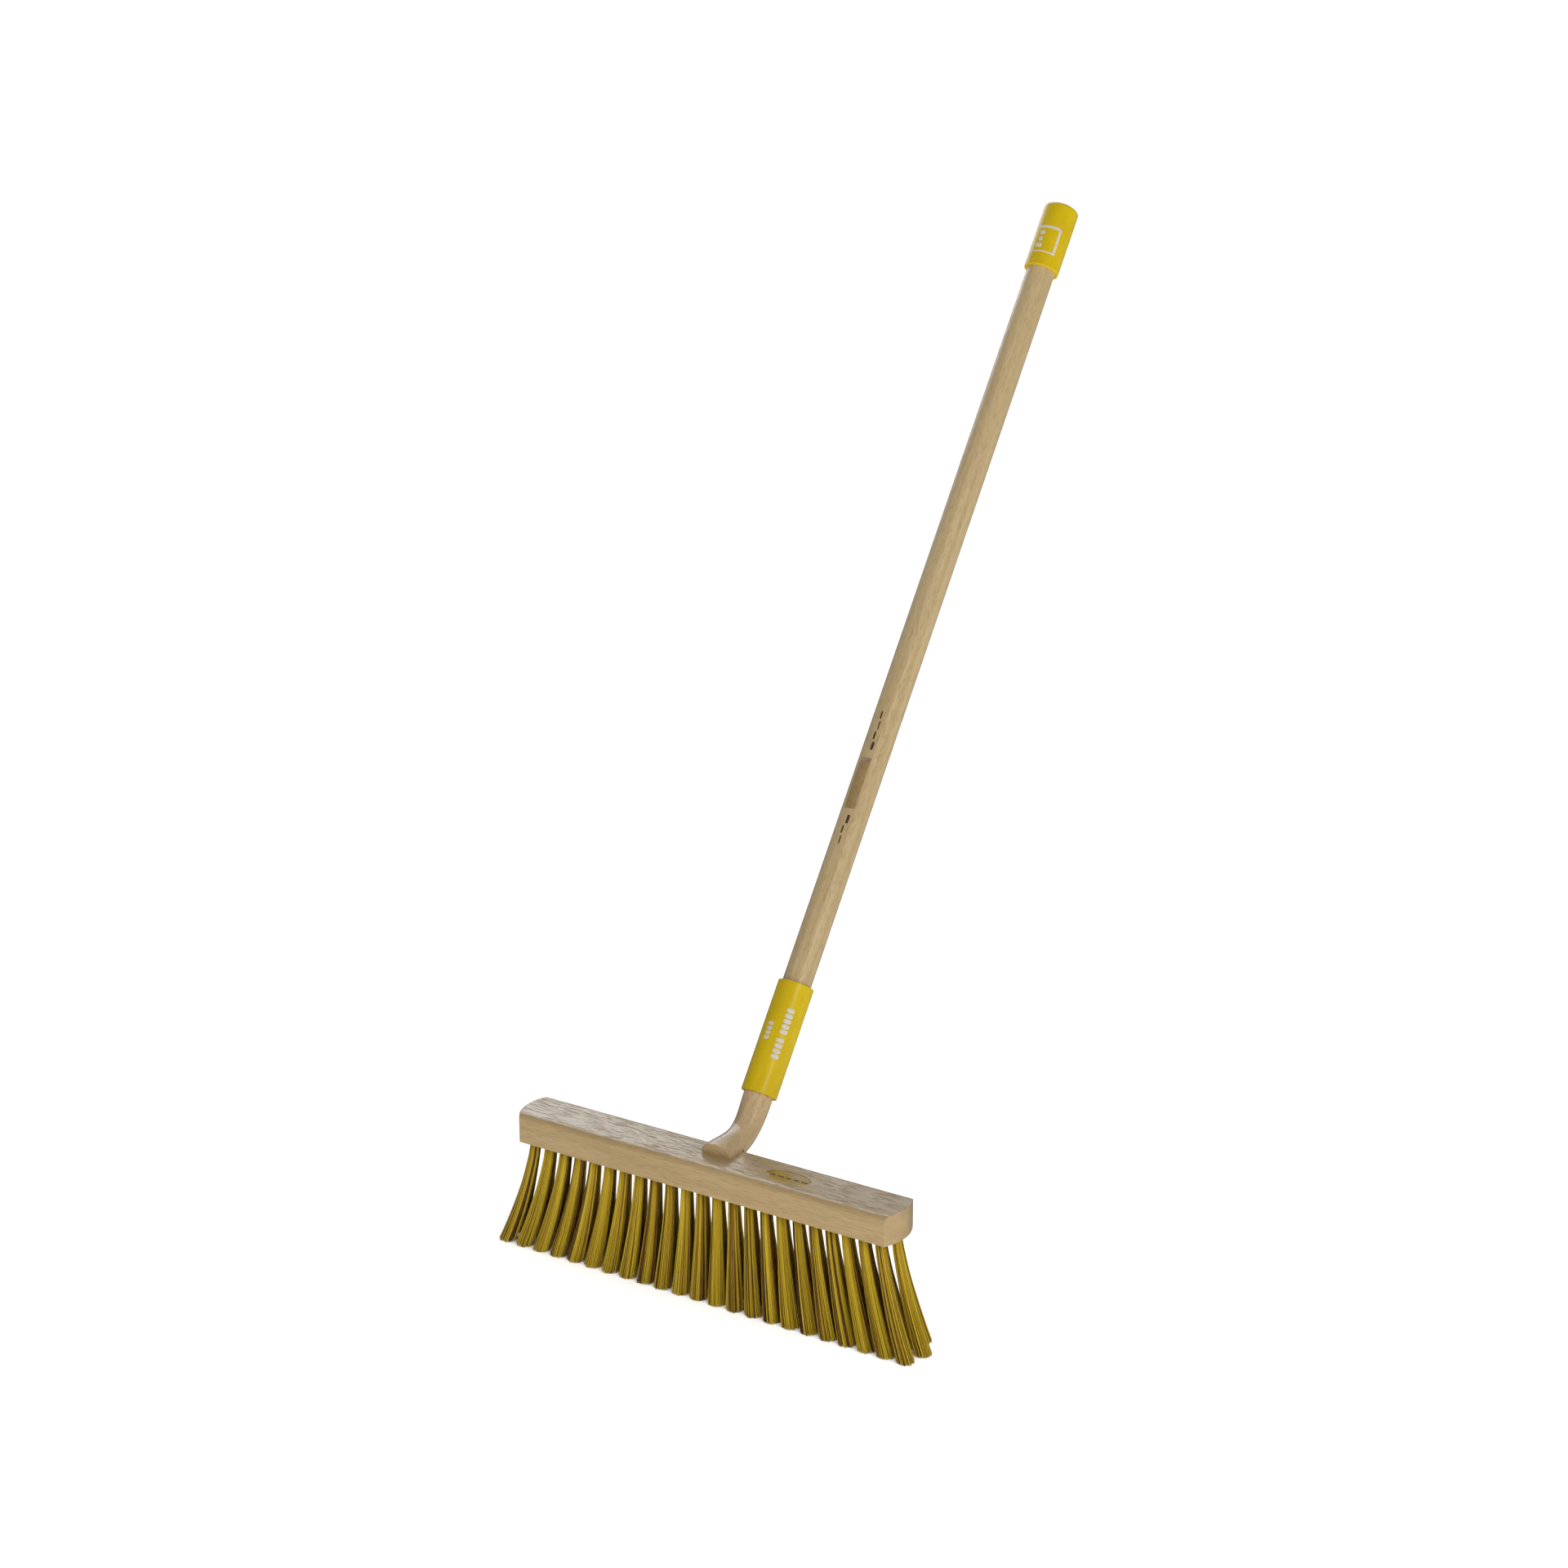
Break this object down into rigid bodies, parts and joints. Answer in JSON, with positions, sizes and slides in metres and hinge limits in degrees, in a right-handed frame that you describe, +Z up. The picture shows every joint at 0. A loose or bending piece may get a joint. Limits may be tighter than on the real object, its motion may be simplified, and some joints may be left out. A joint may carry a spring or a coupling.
{
  "type": "push broom",
  "caption": "Wooden push broom with a long handle leaning back from a bent neck, plastic coupling sleeve and end cap, and flared fibre tufts.",
  "frame": {"origin": "on the floor, under the middle of the block and of the bristle field", "axes": "+X along the block towards the side the neck is offset to, +Y to the back, where the handle leans, +Z up"},
  "size_m": [0.4704, 0.6633, 0.9307],
  "materials": {
    "block_beech": "clear gloss lacquer on planed beech",
    "neck_beech": "clear satin lacquer on bent beech",
    "handle_beech": "clear satin lacquer on turned beech",
    "yellow_plastic": "moulded, glossy",
    "bristle_fibre": "coarse olive-yellow fibre with brown strands",
    "anchor_steel": "flat tinned strip",
    "screw_steel": "bright zinc"
  },
  "bodies": {
    "head": {"block": "block_beech", "tuft_column_01": "bristle_fibre", "tuft_column_02": "bristle_fibre", "tuft_column_03": "bristle_fibre", "tuft_column_04": "bristle_fibre", "tuft_column_05": "bristle_fibre", "tuft_column_06": "bristle_fibre", "tuft_column_07": "bristle_fibre", "tuft_column_08": "bristle_fibre", "tuft_column_09": "bristle_fibre", "tuft_column_10": "bristle_fibre", "tuft_column_11": "bristle_fibre", "tuft_column_12": "bristle_fibre", "tuft_column_13": "bristle_fibre", "tuft_column_14": "bristle_fibre", "tuft_column_15": "bristle_fibre", "tuft_column_16": "bristle_fibre", "tuft_column_17": "bristle_fibre", "tuft_column_18": "bristle_fibre", "tuft_column_19": "bristle_fibre", "tuft_column_20": "bristle_fibre", "tuft_column_21": "bristle_fibre", "tuft_column_22": "bristle_fibre", "tuft_column_23": "bristle_fibre", "tuft_column_24": "bristle_fibre", "tuft_anchors": "anchor_steel", "neck": "neck_beech", "foot_screws": "screw_steel", "coupling_sleeve": "yellow_plastic", "sleeve_screw": "screw_steel"},
    "handle": {"handle_shaft": "handle_beech", "end_cap": "yellow_plastic"}
  },
  "joints": [
    {"name": "handle_draw", "type": "slide", "parent": "head", "child": "handle", "axis": [0, 0.592, 0.8059], "range_m": [0, 0.06]}
  ]
}
